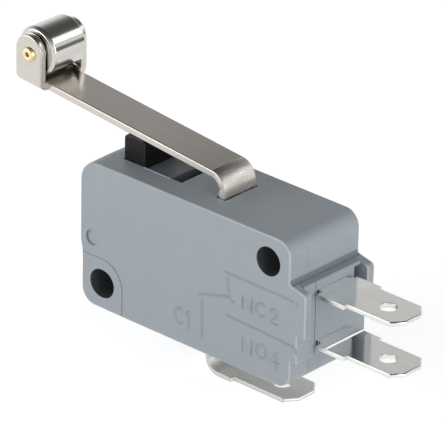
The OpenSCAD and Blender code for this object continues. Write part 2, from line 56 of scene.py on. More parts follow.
# Planes and axes that the pieces lie on
parting_y = cover_high[1]
cover_face_y = cover_low[1] + PAD_H
floor_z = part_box("common_terminal")[0][2]
pin_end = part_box("roller_pin")[1][1]
plunger_x = (plunger_low[0] + plunger_high[0]) / 2
roller_axis = ((roller_low[0] + roller_high[0]) / 2, (roller_low[2] + roller_high[2]) / 2)


# Materials

# Noise scales, in waves per metre, and the depths of the relief
CLOUD_SCALE = 420
GLOSS_SCALE = 1500
SPARK_SCALE = 9000
SPARK_DEPTH = 0.02 * MM
PATCH_SCALE = 380
SPECK_SCALE = 5000
ROLL_DEPTH = 0.006 * MM
# Parts of a noise value's range that a tint and a level use
TINT_RANGE = (0.32, 0.68)
NOISE_RANGE = (0.3, 0.7)
# How far the gloss strays from its mean: by a step on plastic, by a share on metal
PLASTIC_GLOSS = 0.05
METAL_GLOSS = 0.2
SPECK_GLOSS = 0.6
# Stretch of a metal's streaks along the axes
ALONG = (0.06, 1, 1)
ROUND = (1, 0.06, 1)
EVEN = (1, 1, 1)


def new_material(name):
    """Returns a new node material with its tree and its shader."""
    material = bpy.data.materials.new(name)
    material.use_nodes = True
    tree = material.node_tree
    return material, tree, tree.nodes["Principled BSDF"]


def place_noise(tree, scale, stretch=EVEN, detail=3.0, roughness=0.5):
    """Adds a noise texture in the object's own metres, stretched along the axes."""
    coords = tree.nodes.new("ShaderNodeTexCoord")
    mapping = tree.nodes.new("ShaderNodeMapping")
    mapping.inputs["Scale"].default_value = stretch
    noise = tree.nodes.new("ShaderNodeTexNoise")
    noise.inputs["Scale"].default_value = scale
    noise.inputs["Detail"].default_value = detail
    noise.inputs["Roughness"].default_value = roughness
    tree.links.new(coords.outputs["Object"], mapping.inputs["Vector"])
    tree.links.new(mapping.outputs["Vector"], noise.inputs["Vector"])
    return noise.outputs["Fac"]


def own_x(tree):
    """The place along X in the object's own metres."""
    coords = tree.nodes.new("ShaderNodeTexCoord")
    axes = tree.nodes.new("ShaderNodeSeparateXYZ")
    tree.links.new(coords.outputs["Object"], axes.inputs["Vector"])
    return axes.outputs["X"]


def spread(tree, value, low, high, start=NOISE_RANGE[0], end=NOISE_RANGE[1]):
    """Maps a value that goes from start to end to a value from low to high."""
    node = tree.nodes.new("ShaderNodeMapRange")
    node.inputs["From Min"].default_value = start
    node.inputs["From Max"].default_value = end
    node.inputs["To Min"].default_value = low
    node.inputs["To Max"].default_value = high
    tree.links.new(value, node.inputs["Value"])
    return node.outputs["Result"]


def combine(tree, operation, *values):
    """Joins values by a maths node."""
    node = tree.nodes.new("ShaderNodeMath")
    node.operation = operation
    for socket, value in zip(node.inputs, values):
        tree.links.new(value, socket)
    return node.outputs[0]


def tints(tree, value, dark, light):
    """Mixes two tints by a noise value."""
    ramp = tree.nodes.new("ShaderNodeValToRGB")
    for stop, place, tint in zip(ramp.color_ramp.elements, TINT_RANGE, (dark, light)):
        stop.position = place
        stop.color = (*tint, 1)
    tree.links.new(value, ramp.inputs["Fac"])
    return ramp.outputs["Color"]


def grey_ramp(tree, value, levels):
    """A grey that follows a value, from a list of (value from 0 to 1, level) in rising order."""
    ramp = tree.nodes.new("ShaderNodeValToRGB")
    stops = ramp.color_ramp.elements
    while len(stops) < len(levels):
        stops.new(0.5)
    for stop, (place, level) in zip(stops, levels):
        stop.position = place
    for stop, (place, level) in zip(stops, levels):
        stop.color = (level, level, level, 1)
    tree.links.new(value, ramp.inputs["Fac"])
    return ramp.outputs["Color"]


def times_bands(tree, colour, bands):
    """Multiplies a colour by a factor along X, from a list of (x in millimetres, factor)."""
    start = bands[0][0]
    end = bands[-1][0]
    place = spread(tree, own_x(tree), 0.0, 1.0, start * MM, end * MM)
    factor = grey_ramp(tree, place, [((x - start) / (end - start), level) for x, level in bands])
    product = tree.nodes.new("ShaderNodeVectorMath")
    product.operation = "MULTIPLY"
    tree.links.new(colour, product.inputs[0])
    tree.links.new(factor, product.inputs[1])
    return product.outputs["Vector"]


def add_grain(tree, shader, value, strength, depth):
    """Adds a fine bump from a noise value."""
    bump = tree.nodes.new("ShaderNodeBump")
    bump.inputs["Strength"].default_value = strength
    bump.inputs["Distance"].default_value = depth
    tree.links.new(value, bump.inputs["Height"])
    tree.links.new(bump.outputs["Normal"], shader.inputs["Normal"])


def scaled(colour, factor):
    """A colour times a factor, up to white."""
    return tuple(min(1.0, channel * factor) for channel in colour)


def add_colour(tree, shader, noise, colour, contrast, bands):
    """Gives a shader its colour, which strays with a noise value and may change along X."""
    shade = tints(tree, noise, scaled(colour, 1 - contrast), scaled(colour, 1 + contrast))
    if bands:
        shade = times_bands(tree, shade, bands)
    tree.links.new(shade, shader.inputs["Base Color"])


def moulded_plastic(name, colour, roughness, contrast=0.018, texture=0.12, shine=0.5, bands=None):
    """Moulded plastic: slow clouding of the colour, fine spark grain and uneven gloss."""
    material, tree, shader = new_material(name)
    shader.inputs["Specular IOR Level"].default_value = shine
    add_colour(tree, shader, place_noise(tree, CLOUD_SCALE, detail=4.0), colour, contrast, bands)
    gloss = spread(tree, place_noise(tree, GLOSS_SCALE), roughness - PLASTIC_GLOSS, roughness + PLASTIC_GLOSS)
    tree.links.new(gloss, shader.inputs["Roughness"])
    add_grain(tree, shader, place_noise(tree, SPARK_SCALE, detail=2.0), texture, SPARK_DEPTH)
    return material


def rolled_metal(name, colour, roughness, stretch, contrast=0.06, texture=0.1, scale=1200, dull=None,
                 bands=None):
    """Sheet metal: streaks of the rolls along one direction, in colour, gloss and relief.

    Dull gives the start and the end along X of a change to a rougher surface, and how much rougher.
    """
    material, tree, shader = new_material(name)
    shader.inputs["Metallic"].default_value = 1.0
    streaks = place_noise(tree, scale, stretch, detail=5.0, roughness=0.6)
    add_colour(tree, shader, streaks, colour, contrast, bands)
    gloss = spread(tree, place_noise(tree, PATCH_SCALE), roughness * (1 - METAL_GLOSS),
                   roughness * (1 + METAL_GLOSS))
    if dull:
        start, end, more = dull
        specks = spread(tree, place_noise(tree, SPECK_SCALE, detail=2.0), more * (1 - SPECK_GLOSS),
                        more * (1 + SPECK_GLOSS))
        gloss = combine(tree, "MULTIPLY_ADD", spread(tree, own_x(tree), 0.0, 1.0, start, end), specks, gloss)
    tree.links.new(gloss, shader.inputs["Roughness"])
    add_grain(tree, shader, streaks, texture, ROLL_DEPTH)
    return material


GREY = (0.342, 0.384, 0.420)
# Lighter and darker copies of the housing's plastic, which paint light and shade: the share of its grey, and
# the roughness
# lip: a painted highlight along the hollow; light and mark: painted light and a slight painted shade on the
# strokes
# step, shade and hollow: painted shade on the strokes' flanks and the mould mark, on the ledge and the seam,
# and in the hollow, spare slot and cove
PAINTED_LIGHT_AND_SHADE = {"lip": (1.2, 0.45), "light": (1.12, 0.45), "mark": (0.94, 0.5), "shade": (0.82, 0.5),
          "step": (0.74, 0.5), "hollow": (0.5, 0.5)}
MATERIALS = {
    "housing": moulded_plastic("housing_plastic", GREY, 0.46),
    # The rounded edges' lighter plastic is a painted highlight, dimmed along X towards the left end
    "housing_edge": moulded_plastic("housing_plastic_painted_highlight", (0.51, 0.54, 0.56), 0.4,
                                    bands=[(-25, 0.68), (-12, 0.72), (-4, 0.9), (4, 1.0)]),
    # Painted shade: a dark copy of the plastic for the inner spaces, the holes and the block's seam
    "housing_inner": moulded_plastic("housing_plastic_painted_shade", scaled(GREY, 0.22), 0.6, contrast=0.08,
                                     shine=0.2),
    "plunger": moulded_plastic("plunger_plastic", (0.006, 0.006, 0.006), 0.42, contrast=0.2, shine=0.2),
    # The plunger's rounded edges in lighter plastic, a painted highlight
    "plunger_painted_highlight": moulded_plastic("plunger_plastic_painted_highlight", (0.016, 0.016, 0.015), 0.36, contrast=0.2,
                                    shine=0.3),
    # The lever's bands along X are painted shade before the bend and a painted highlight at it
    "lever": rolled_metal("lever_steel", (0.64, 0.605, 0.56), 0.19, ALONG, contrast=0.03,
                          dull=(-10.6 * MM, -9.4 * MM, 0.22),
                          bands=[(-38, 0.98), (-20, 0.96), (-14, 0.85), (-10.7, 0.74), (-10, 0.76),
                                 (-9.4, 1.09)]),
    "lever_edge": rolled_metal("lever_steel_edge", (0.55, 0.525, 0.49), 0.42, ALONG, contrast=0.05),
    "roller": rolled_metal("roller_steel", (0.62, 0.605, 0.575), 0.13, ROUND, contrast=0.05, texture=0.22),
    "pin": rolled_metal("pin_brass", (0.79, 0.66, 0.42), 0.42, EVEN, scale=4000),
    # The tin's bands along X are painted light on the tabs next to the block
    "terminal": rolled_metal("terminal_tin", (0.86, 0.855, 0.83), 0.12, ALONG, contrast=0.025, texture=0.04,
                             bands=[(3, 1.09), (6.5, 1.09), (7.2, 1.02)]),
    # The common tab's tin is rougher, and lighter as painted light where it mirrors the body's dark underside
    "terminal_dull": rolled_metal("terminal_tin_dull_painted_light", (0.94, 0.93, 0.885), 0.55, ALONG, contrast=0.03),
    "terminal_edge": rolled_metal("terminal_tin_edge", (0.78, 0.775, 0.75), 0.3, ALONG, contrast=0.03),
    "common_edge": rolled_metal("terminal_tin_edge_dull", (0.55, 0.545, 0.52), 0.4, ALONG, contrast=0.03),
    "contact": rolled_metal("contact_silver", (0.80, 0.79, 0.76), 0.28, EVEN, scale=3000),
    "contact_arm": rolled_metal("contact_arm_bronze", (0.62, 0.41, 0.22), 0.3, ALONG),
    "actuating_arm": rolled_metal("actuating_arm_steel", (0.60, 0.59, 0.57), 0.3, ALONG),
    "spring": rolled_metal("spring_wire", (0.58, 0.57, 0.55), 0.25, EVEN, scale=5000),
}
for part, (share, roughness) in PAINTED_LIGHT_AND_SHADE.items():
    MATERIALS["housing_" + part] = moulded_plastic("housing_plastic_" + part, scaled(GREY, share), roughness)


# Pieces


def to_mesh(name, shape):
    """Turns a shape into a mesh and frees it."""
    mesh = bpy.data.meshes.new(name)
    shape.to_mesh(mesh)
    shape.free()
    return mesh


def add_piece(name, mesh, body, materials, replaced=None):
    """Links a mesh as a piece that rides on a body, with its materials by their keys, and hides the node it
    replaces.
    """
    piece = bpy.data.objects.new(name, mesh)
    bpy.context.scene.collection.objects.link(piece)
    for key in materials:
        mesh.materials.append(MATERIALS[key])
    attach(piece, body)
    if replaced:
        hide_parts(replaced)
    return piece


def smooth(piece, angle):
    """Shades smooth up to an angle, with flat faces kept flat."""
    mesh = piece.data
    for polygon in mesh.polygons:
        polygon.use_smooth = True
    mesh.set_sharp_from_angle(angle=math.radians(angle))
    weighted = piece.modifiers.new("flat_faces", "WEIGHTED_NORMAL")
    weighted.keep_sharp = True


# Places on the housing, in millimetres, with boxes as (low, high) corners

# Inner spaces, painted dark as painted shade, and the spare slot in the top, also in painted shade
PAINTED_SHADE_BOXES = [
    ((-23.75, -3.7, -11.85), (1.55, 3.7, 0.85)),
    ((-22.1, -2.45, 0.7), (-19.1, 2.45, 2.85)),
    ((-9.5, -2.45, 0.7), (-8.1, 2.45, 2.85)),
    ((2.25, 3.2, -9.0), (3.95, 4.2, 0.5)),
    ((-10.1, -3.0, -13.15), (-9.4, 3.0, -11.8)),
    ((-9.2, -3.0, 1.1), (-8.2, 3.0, 2.1))]
SPARE_SLOT = [((-15.9, -2.45, 0.7), (-14.0, 2.45, 2.85))]
# Seats of the two end tabs
SEAT_BOXES = [
    ((0.15, -2.45, -3.4), (3.95, 2.15, -2.7)),
    ((0.15, -2.45, -8.95), (3.95, 2.15, -8.25))]
# Floor of the shallow hollow beside the plunger, in painted shade
HOLLOW_FLOOR = [((-19.2, -5.2, 2.2), (-15.8, 5.2, 2.65))]
# Ledge over the end tabs, whose top is in painted shade, and its front edge
LEDGE = [((2.75, -4.3, -2.5), (4.1, 4.3, -1.3))]
LEDGE_FRONT = [((3.7, -6.0, -2.6), (4.3, 6.0, -1.4))]
# Round places, as (x, z), and their reach; the mould mark's wall and the holes' insides are in painted shade
MOULD_MARK = [(-23.7, -5.65)]
MARK_REACH = 1.1
HOLES = [(0.0, 0.0), (-22.2, -10.3)]
HOLE_REACH = 1.75
RIM_REACH = 2.4

# Tips of the lower tab and of the end tabs along X, and how far back from them the coined edges reach
LOWER_TIP = 1.1
END_TIP = 14.4
TIP_REACH = 0.7

# Limits in metres: where the end face, the block and the end tabs' outside begin along X, and the lower
# tab's straight end
END_X = 2.7 * MM
BLOCK_X = 3.8 * MM
TABS_X = 4.0 * MM
LOWER_END_X = -2.0 * MM
# Over these heights lie the top face and the lever's outside, and under this one the lower tab's outside
TOP_Z = 2.7 * MM
LEVER_Z = 2.85 * MM
UNDER_Z = -13.15 * MM
# The holes' insides end this far from the middle plane, and the lever's holes for the rivet have this reach
INSIDE_Y = 4.9 * MM
RIVET_REACH = 0.8 * MM
# Sides lower than this are those of the raised pad, and the ledge's front edges are longer than this
LOW_STEP = 0.1 * MM
LEDGE_LENGTH = 1.5 * MM
# Shares of a face's normal along an axis: square to it, leaning to it, halfway and hardly
SQUARE = 0.9
LEANING = 0.6
HALFWAY = 0.5
HARDLY = 0.3


def is_near(point, places, reach):
    """True within reach of one of the places, seen along Y."""
    return any(math.hypot(point[0] / MM - x, point[2] / MM - z) < reach for x, z in places)


def is_within(point, boxes):
    """True inside one of the boxes."""
    spot = [value / MM for value in point]
    return any(all(low[i] < spot[i] < high[i] for i in range(3)) for low, high in boxes)


def middle_of(edge):
    """The middle of an edge."""
    return (edge.verts[0].co + edge.verts[1].co) / 2


def y_length(edge):
    """How far an edge runs along Y."""
    return abs(edge.verts[0].co[1] - edge.verts[1].co[1])


def at_parting(edge):
    """True where both ends lie at the plane between the two halves."""
    return all(abs(vert.co[1] - parting_y) < 2 * NEAR for vert in edge.verts)


def is_low_step(face):
    """True on the side of the raised pad, which is too low for a rounded edge."""
    heights = [vert.co[1] for vert in face.verts]
    return abs(face.normal[1]) < HALFWAY and max(heights) - min(heights) < LOW_STEP


def ledge_edge(edge):
    """True on the front edge of the ledge over the end tabs, which has no light line."""
    return y_length(edge) > LEDGE_LENGTH and is_within(middle_of(edge), LEDGE_FRONT)


def housing_edge(edge):
    """True on the outer edges of the two housing halves."""
    spot = middle_of(edge)
    if at_parting(edge) or is_within(spot, PAINTED_SHADE_BOXES + SPARE_SLOT + SEAT_BOXES) or ledge_edge(edge):
        return False
    if is_near(spot, HOLES, RIM_REACH) or is_near(spot, MOULD_MARK, MARK_REACH):
        return False
    return not any(is_low_step(face) for face in edge.link_faces)


def seam_edge(edge):
    """True where the seam between the two halves shows on the end face."""
    return at_parting(edge) and END_X < middle_of(edge)[0] < BLOCK_X


def block_seam_edge(edge):
    """True where the deeper seam between the two halves shows on the block."""
    return at_parting(edge) and middle_of(edge)[0] > BLOCK_X


def lever_edge(edge):
    """True on the lever's edges that stand out of the housing, away from the rivet."""
    spot = middle_of(edge)
    away = math.hypot(spot[0] - roller_axis[0], spot[2] - roller_axis[1])
    return spot[2] > LEVER_Z and away > RIVET_REACH


def is_tab_outside(spot):
    """True on the part of a tab outside the housing."""
    return spot[0] > TABS_X or spot[2] < UNDER_Z


def tip_edge(edge):
    """True on the coined edges round the tabs' tips."""
    spot = middle_of(edge)
    tip = LOWER_TIP if spot[2] < UNDER_Z else END_TIP
    flat = abs(edge.verts[0].co[2] - edge.verts[1].co[2]) < NEAR
    return flat and spot[0] > (tip - TIP_REACH) * MM


def tab_edge(edge):
    """True on the tabs' other edges outside the housing."""
    return is_tab_outside(middle_of(edge)) and not tip_edge(edge)


def any_edge(edge):
    """True on every edge."""
    return True


def housing_finish(face):
    """The material of a housing face, with painted shade inside and in recesses and a painted highlight on
    the pad's steps.
    """
    spot = face.calc_center_median()
    outside = spot[2] > TOP_Z and face.normal[2] > SQUARE
    wall = abs(face.normal[1]) < HALFWAY
    upward = face.normal[2] > LEANING
    # Painted shade: dark plastic in the inner spaces and on the holes' walls and insides
    if is_within(spot, PAINTED_SHADE_BOXES) and not outside or is_near(spot, HOLES, HOLE_REACH) and wall:
        return "housing_inner"
    if is_near(spot, HOLES, RIM_REACH) and abs(spot[1]) < INSIDE_Y:
        return "housing_inner"
    # Painted shade on the ledge's top under the end face
    if is_within(spot, LEDGE) and upward:
        return "housing_shade"
    # Painted shade on the hollow's floor and in the spare slot
    if is_within(spot, HOLLOW_FLOOR) and upward or is_within(spot, SPARE_SLOT) and not outside:
        return "housing_hollow"
    # Painted shade on the mould mark's wall
    if is_near(spot, MOULD_MARK, MARK_REACH) and wall:
        return "housing_step"
    # Painted highlight: the lighter edge plastic on the raised pad's upward sides
    return "housing_edge" if is_low_step(face) and face.normal[2] > HARDLY else "housing"


def is_cut(face):
    """True on the cut sides and tips of a tab outside the housing."""
    spot = face.calc_center_median()
    side = abs(face.normal[1]) > SQUARE or spot[0] > LOWER_END_X
    return is_tab_outside(spot) and abs(face.normal[2]) < HARDLY and side


# Faces narrower than this, with a bend in this range of degrees, stand for a round surface
CURVED_W = 0.34 * MM
CURVED_BENDS = (1, 32)


def is_curved(face):
    """True on the narrow faces that stand for a round surface."""
    longest = max(edge.calc_length() for edge in face.edges)
    if face.calc_area() > CURVED_W * longest:
        return False
    bends = [math.degrees(edge.calc_face_angle(0)) for edge in face.edges if edge.is_manifold]
    return any(CURVED_BENDS[0] < bend < CURVED_BENDS[1] for bend in bends)


# The cover's upper left corner: its radius in the solid, its fuller radius, how far that stands out, down
# to which height it does so in full, and from which height down the end is plain
CORNER_R = 1.7 * MM
FULL_R = 2.4 * MM
FULL_OUT = 0.34 * MM
FULL_LOW = -6.4 * MM
PLAIN_TOP = -7.8 * MM


def fuller_corner(shape):
    """Brings the cover's upper left corner out to its fuller round, which fades out at the parting plane."""
    end = cover_low[0]
    top = cover_high[2]
    for z in (FULL_LOW, PLAIN_TOP):
        faces = [face for face in shape.faces if all(vert.co[0] < end + NEAR for vert in face.verts)]
        edges = {edge for face in faces for edge in face.edges}
        verts = {vert for face in faces for vert in face.verts}
        bmesh.ops.bisect_plane(shape, geom=faces + list(edges) + list(verts), plane_co=(0, 0, z),
                               plane_no=(0, 0, 1))
    for vert in shape.verts:
        x, y, z = vert.co
        goal = None
        if x < end + CORNER_R + NEAR and z > top - CORNER_R - NEAR:
            turn = math.atan2(z - top + CORNER_R, end + CORNER_R - x)
            goal = Vector((end - FULL_OUT + FULL_R * (1 - math.cos(turn)), y,
                           top - FULL_R * (1 - math.sin(turn))))
        elif x < end + NEAR and z > FULL_LOW - NEAR:
            goal = Vector((end - FULL_OUT, y, z))
        if goal:
            vert.co = vert.co.lerp(goal, min(1.0, (parting_y - y) / (parting_y - cover_face_y)))


# The plunger's flatter crown: its radius, the depth of the crown in the solid, the share of their distance
# from the middle that the inner points keep, how far from the middle the sides begin, and the length that
# its side edges are over
CROWN_R = 5.0 * MM
CROWN_DEPTH = 0.75 * MM
CROWN_INNER = 0.76
CROWN_SIDE = 1.3 * MM
CROWN_LENGTH = 1.0 * MM


def is_crown(vert):
    """True on the points of the plunger's crown."""
    return vert.co[2] > plunger_high[2] - CROWN_DEPTH


def flatter_crown(shape):
    """Flattens the plunger's crown, which keeps its height in the middle."""
    crown = [vert for vert in shape.verts if is_crown(vert)]
    half = max(vert.co[0] for vert in crown) - plunger_x
    for vert in crown:
        across = vert.co[0] - plunger_x
        if abs(across) < half - NEAR:
            across *= CROWN_INNER
        drop = CROWN_R - math.sqrt(CROWN_R ** 2 - across ** 2)
        vert.co = (plunger_x + across, vert.co[1], plunger_high[2] - drop)


def crown_edge(edge):
    """True on the two edges where the crown meets the plunger's sides."""
    aside = all(is_crown(vert) and abs(vert.co[0] - plunger_x) > CROWN_SIDE for vert in edge.verts)
    return aside and y_length(edge) > CROWN_LENGTH


# Points that are merged, and the angles in degrees up to which faces are joined, over which an edge is
# rounded and over which it is shaded as sharp
MERGE = 0.015 * MM
FLAT_ANGLE = 1
ROUND_ANGLE = 30
SHARP_ANGLE = 40
# Angles for shading that leave the cove and the signs softer
COVE_ANGLE = 60
SIGN_ANGLE = 70


def in_order(elements, place):
    """Sorts a shape's points, edges or faces by their place, so that their order is the same in every run."""
    ranked = sorted(elements, key=lambda element: tuple(place(element)))
    ranks = {element: rank for rank, element in enumerate(ranked)}
    elements.sort(key=ranks.get)


def softened(node, body, materials, passes, finish=None, reshape=None):
    """A copy of a node with chosen outer edges rounded, which stands for the node.

    Each pass gives the edges, the rounding's width and its material, finish gives a face's material, and
    reshape changes the copy first.
    """
    shape = bmesh.new()
    shape.from_mesh(nodes[node].data)
    bmesh.ops.remove_doubles(shape, verts=shape.verts, dist=MERGE)
    bmesh.ops.dissolve_limit(shape, angle_limit=math.radians(FLAT_ANGLE), verts=shape.verts,
                             edges=shape.edges)
    if reshape:
        reshape(shape)
        shape.normal_update()
    for face in shape.faces:
        face.material_index = materials.index(finish(face)) if finish else 0
    for chosen, width, key in passes:
        edges = [edge for edge in shape.edges if edge.is_manifold and edge.is_convex
                 and edge.calc_face_angle() > math.radians(ROUND_ANGLE) and chosen(edge)]
        bmesh.ops.bevel(shape, geom=edges, offset=width, offset_type="OFFSET", segments=3, profile=0.5,
                        affect="EDGES", clamp_overlap=False, material=materials.index(key))
    shape.normal_update()
    in_order(shape.verts, lambda vert: vert.co)
    in_order(shape.edges, middle_of)
    in_order(shape.faces, lambda face: face.calc_center_median())
    curved = [is_curved(face) for face in shape.faces]
    mesh = to_mesh(node + "_skin", shape)
    carried = mesh.attributes.get("custom_normal")
    if carried:
        mesh.attributes.remove(carried)
    mesh.set_sharp_from_angle(angle=math.radians(SHARP_ANGLE))
    for polygon, flag in zip(mesh.polygons, curved):
        polygon.use_smooth = flag
    add_piece(node + "_skin", mesh, body, materials, node)


HOUSING_SET = ["housing", "housing_edge", "housing_inner", "housing_shade", "housing_step", "housing_hollow"]
# Rounding passes: the ledge's front edge stays plain, the outer edges get a painted highlight, and the two
# seams painted shade
HOUSING_PASSES = [
    (ledge_edge, 0.16 * MM, "housing"), (housing_edge, 0.13 * MM, "housing_edge"),
    (seam_edge, 0.03 * MM, "housing_shade"), (block_seam_edge, 0.04 * MM, "housing_inner")]
# Materials of each tab's faces and cut sides
TABS = {
    "common_terminal": ("terminal_dull", "common_edge"),
    "nc_terminal": ("terminal", "terminal_edge"),
    "no_terminal": ("terminal", "terminal_edge")}

softened("case", "housing", HOUSING_SET, HOUSING_PASSES, housing_finish)
softened("cover", "housing", HOUSING_SET, HOUSING_PASSES, housing_finish, fuller_corner)
softened("plunger", "plunger", ["plunger", "plunger_painted_highlight"],
         [(crown_edge, 0.3 * MM, "plunger"), (any_edge, 0.12 * MM, "plunger_painted_highlight")], reshape=flatter_crown)
softened("lever", "lever", ["lever", "lever_edge"], [(lever_edge, 0.13 * MM, "lever_edge")])
for tab, (plain, cut) in TABS.items():
    softened(tab, "housing", [plain, cut],
             [(tip_edge, 0.17 * MM, plain), (tab_edge, 0.06 * MM, cut)],
             lambda face: cut if is_cut(face) else plain)


def prism(name, outline, low, high, slot, key, angle=SHARP_ANGLE):
    """A bar along Y between low and high, from an outline of (x, z), which rides on the housing."""
    shape = bmesh.new()
    rows = [[shape.verts.new((x, y, z)) for x, z in outline] for y in (low, high)]
    for index in range(len(outline)):
        before = index - 1
        shape.faces.new((rows[0][before], rows[0][index], rows[1][index], rows[1][before]))
    for row in rows:
        shape.faces.new(row)
    bmesh.ops.recalc_face_normals(shape, faces=shape.faces)
    piece = add_piece(name, to_mesh(name, shape), "housing", [key])
    smooth(piece, angle)


def rectangle(left, right, bottom, top):
    """Outline of a rectangle."""
    return [(left, bottom), (right, bottom), (right, top), (left, top)]


def add_ridge():
    """The low bar that the press left across the lower end tab."""
    low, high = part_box("no_terminal")
    ridge_x = 5.7
    inset = 0.1 * MM
    section = ((-0.12, -0.01), (-0.1, 0.12), (0.02, 0.12), (0.13, -0.01))
    outline = [((ridge_x + across) * MM, high[2] + height * MM) for across, height in section]
    prism("no_terminal_ridge", outline, low[1] + inset, high[1] - inset, "terminal", "terminal_edge")


# Plastic in the end tabs' seats: where it starts along X, where the lining over a tab's neck and the cheek
# before it end, their spans along Y, and the clearances to the neck and to the seat's top and bottom
LINING_START = 2.6 * MM
LINING_END = 3.88 * MM
LINING_Y = (-2.38 * MM, 2.08 * MM)
CHEEK_END = 3.86 * MM
CHEEK_Y = (-2.37 * MM, -2.17 * MM)
NECK_GAP = 0.004 * MM
SEAT_TOP_GAP = 0.05
SEAT_LOW_GAP = 0.06


def add_linings():
    """Plastic that closes the seats over the end tabs' necks and before them."""
    for tab, (low, high) in zip(("nc", "no"), SEAT_BOXES):
        neck_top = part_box(tab + "_terminal")[1][2] + NECK_GAP
        seat_low = (low[2] + SEAT_LOW_GAP) * MM
        seat_top = (high[2] - SEAT_TOP_GAP) * MM
        lining = rectangle(LINING_START, LINING_END, neck_top, seat_top)
        cheek = rectangle(LINING_START, CHEEK_END, seat_low, seat_top)
        prism(tab + "_seat_lining", lining, *LINING_Y, "housing", "housing")
        prism(tab + "_seat_cheek", cheek, *CHEEK_Y, "housing", "housing")


def add_cove():
    """The hollow round in the corner between the end face and the ledge, which slopes."""
    reach = 0.4 * MM
    sunk = 0.02 * MM
    half = 4.95 * MM
    fall = 0.24
    steps = 8
    corner = (2.8 * MM, -1.6 * MM)
    outline = [(corner[0] - sunk, corner[1] - sunk)]
    for step in range(steps + 1):
        turn = math.radians(90 / steps * step)
        x = corner[0] + reach * (1 - math.sin(turn))
        z = corner[1] + reach * (1 - math.cos(turn))
        outline.append((x, z - fall * (x - corner[0])))
    # The cove's darker plastic is painted shade in the corner under the end face
    prism("ledge_cove", outline, -half, half, "housing", "housing_hollow", COVE_ANGLE)


def add_lip():
    """The lip of the cover along the shallow hollow beside the plunger, in lighter plastic as a painted
    highlight.
    """
    left = -19.1 * MM
    right = -15.5 * MM
    sunk = 0.05 * MM
    height = 0.06 * MM
    front = parting_y - 0.16 * MM
    rear = parting_y - NEAR
    outline = rectangle(left, right, cover_high[2] - sunk, cover_high[2] + height)
    prism("hollow_lip", outline, front, rear, "housing", "housing_lip")


add_ridge()
add_linings()
add_cove()
add_lip()


def turned(name, profile, body, key, replaced, steps):
    """A turned piece on the roller's axis, from a closed profile of (radius, y)."""
    shape = bmesh.new()
    rings = []
    for radius, y in profile:
        ring = []
        for step in range(steps):
            angle = math.tau * step / steps
            ring.append(shape.verts.new((roller_axis[0] + radius * math.cos(angle), y,
                                         roller_axis[1] + radius * math.sin(angle))))
        rings.append(ring)
    for first, second in zip(rings, rings[1:] + rings[:1]):
        for step in range(steps):
            after = (step + 1) % steps
            shape.faces.new((first[step], first[after], second[after], second[step]))
    bmesh.ops.recalc_face_normals(shape, faces=shape.faces)
    piece = add_piece(name, to_mesh(name, shape), body, [key], replaced)
    smooth(piece, SHARP_ANGLE)


def rounded_profile(corners, size, steps=4):
    """Rounds the corners of a closed profile of (radius, y) by a size, or less where a side is short."""
    points = []
    count = len(corners)
    most = 0.45
    for index, corner in enumerate(corners):
        here = Vector(corner)
        before = Vector(corners[index - 1]) - here
        after = Vector(corners[(index + 1) % count]) - here
        reach = min(size, before.length * most, after.length * most)
        start = here + before.normalized() * reach
        end = here + after.normalized() * reach
        for step in range(steps + 1):
            t = step / steps
            point = start * (1 - t) ** 2 + here * 2 * t * (1 - t) + end * t ** 2
            points.append((point[0], point[1]))
    return points


# Roller: radius of the rim, half widths of the hubs and the tread, radius of the hubs, bevel and bore
rim = (roller_high[0] - roller_low[0]) / 2
hub_y = roller_high[1]
tread_y = 2.4 * MM
hub_r = 1.4 * MM
bevel = 0.3 * MM
bore = 0.7 * MM
roller_corners = [
    (bore, -hub_y), (hub_r, -hub_y), (hub_r, -tread_y), (rim - bevel, -tread_y), (rim, bevel - tread_y),
    (rim, tread_y - bevel), (rim - bevel, tread_y), (hub_r, tread_y), (hub_r, hub_y), (bore, hub_y)]
turned("roller_skin", rounded_profile(roller_corners, size=0.07 * MM), "roller", "roller", "roller",
       steps=96)

# Rivet: height of a head, where the heads begin, radii of the shank and the heads, radius and bottom of the
# heads' hollows, and the radius of a hair-thin core that closes the profile
head_h = 0.34 * MM
ear_y = pin_end - head_h
shank_r = 0.65 * MM
head_r = 0.85 * MM
hollow_r = 0.25 * MM
hollow_y = pin_end - 2 * head_h
core_r = 0.01 * MM
pin_corners = [
    (core_r, -hollow_y), (hollow_r, -hollow_y), (hollow_r, -pin_end), (shank_r, -pin_end),
    (head_r, -ear_y), (shank_r, -ear_y), (shank_r, ear_y), (head_r, ear_y), (shank_r, pin_end),
    (hollow_r, pin_end), (hollow_r, hollow_y), (core_r, hollow_y)]
turned("roller_pin_skin", rounded_profile(pin_corners, size=0.09 * MM), "lever", "pin", "roller_pin",
       steps=48)


# Signs of the contacts and the circuit on the cover's face, as (x, z) in millimetres


def arc(centre, radii, start, end, steps=18):
    """Points of an ellipse's arc between two angles in degrees."""
    points = []
    for step in range(steps + 1):
        angle = math.radians(start + (end - start) * step / steps)
        points.append((centre[0] + radii[0] * math.cos(angle), centre[1] + radii[1] * math.sin(angle)))
    return points


